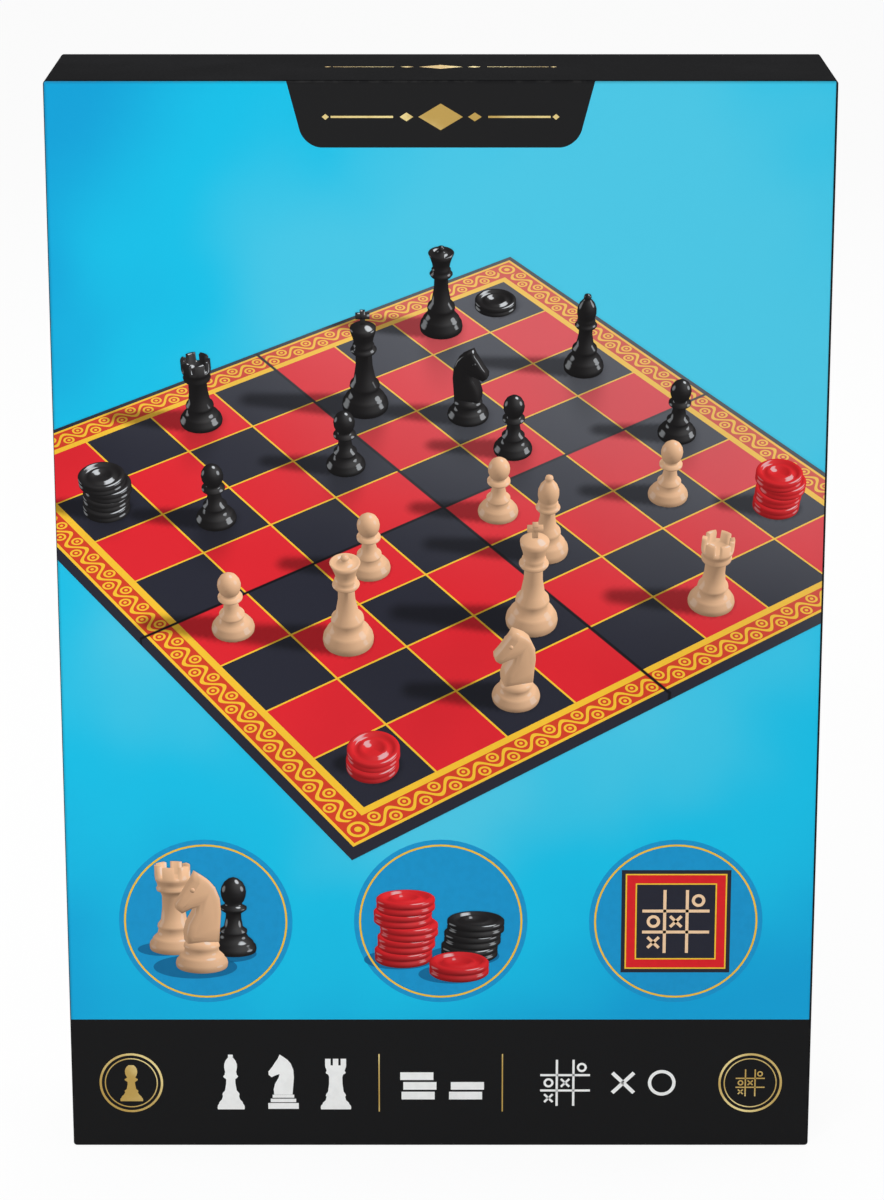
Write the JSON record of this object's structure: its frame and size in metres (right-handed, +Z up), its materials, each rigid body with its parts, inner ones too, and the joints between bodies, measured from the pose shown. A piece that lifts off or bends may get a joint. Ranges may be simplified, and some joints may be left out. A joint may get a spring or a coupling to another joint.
{
  "type": "games compendium box",
  "caption": "Upright two-piece rigid game box: a printed lid over a base that holds a moulded insert tray, a quarter-folding board, chess men, draughts and a rules leaflet.",
  "frame": {"origin": "middle of the underside of the standing box", "axes": "+Z up the standing box, front print towards -Y, +X to the right of someone facing the front"},
  "size_m": [0.267, 0.064, 0.388],
  "materials": {
    "lid_print": "satin laminated printed paper over chipboard",
    "base_wrap": "satin black wrap paper over chipboard",
    "tray_plastic": "thin thermoformed sheet",
    "leaflet_paper": "uncoated folded paper",
    "board_print": "satin printed paper over greyboard",
    "black_plastic": "glossy moulded",
    "red_plastic": "glossy moulded",
    "cream_plastic": "glossy moulded"
  },
  "bodies": {
    "base": {"base": "base_wrap", "rules_leaflet": "leaflet_paper"},
    "lid": {"lid": "lid_print"},
    "tray": {"insert_tray": "tray_plastic", "black_draughts": "black_plastic", "red_draughts": "red_plastic", "dark_bishop_1": "black_plastic", "dark_bishop_2": "black_plastic", "dark_king": "black_plastic", "dark_knight_1": "black_plastic", "dark_knight_2": "black_plastic", "dark_pawn_1": "black_plastic", "dark_pawn_2": "black_plastic", "dark_pawn_3": "black_plastic", "dark_pawn_4": "black_plastic", "dark_pawn_5": "black_plastic", "dark_pawn_6": "black_plastic", "dark_pawn_7": "black_plastic", "dark_pawn_8": "black_plastic", "dark_queen": "black_plastic", "dark_rook_1": "black_plastic", "dark_rook_2": "black_plastic", "light_bishop_1": "cream_plastic", "light_bishop_2": "cream_plastic", "light_king": "cream_plastic", "light_knight_1": "cream_plastic", "light_knight_2": "cream_plastic", "light_pawn_1": "cream_plastic", "light_pawn_2": "cream_plastic", "light_pawn_3": "cream_plastic", "light_pawn_4": "cream_plastic", "light_pawn_5": "cream_plastic", "light_pawn_6": "cream_plastic", "light_pawn_7": "cream_plastic", "light_pawn_8": "cream_plastic", "light_queen": "cream_plastic", "light_rook_1": "cream_plastic", "light_rook_2": "cream_plastic"},
    "board_left": {"board_near_left": "board_print", "board_far_left": "board_print"},
    "board_right": {"board_near_right": "board_print", "board_far_right": "board_print"}
  },
  "joints": [
    {"name": "lid_lift", "type": "slide", "parent": "base", "child": "lid", "axis": [0, -1, 0], "range_m": [0, 0.78]},
    {"name": "tray_lift", "type": "slide", "parent": "base", "child": "tray", "axis": [0, -1, 0], "range_m": [0, 0.0663]},
    {"name": "board_lift", "type": "slide", "parent": "tray", "child": "board_left", "axis": [0, -1, 0], "range_m": [0, 0.0936]},
    {"name": "board_fold", "type": "hinge", "parent": "board_left", "child": "board_right", "pos_m": [-0.0955, -0.02587, 0.2799], "axis": [0, 0, -1], "range_deg": [0, 180]}
  ],
  "couplings": [
    {"joint": "tray_lift", "follows": "lid_lift", "ratio": 0.085},
    {"joint": "board_lift", "follows": "lid_lift", "ratio": 0.12},
    {"joint": "board_fold", "follows": "lid_lift", "rad_per_m": 4.0277}
  ]
}
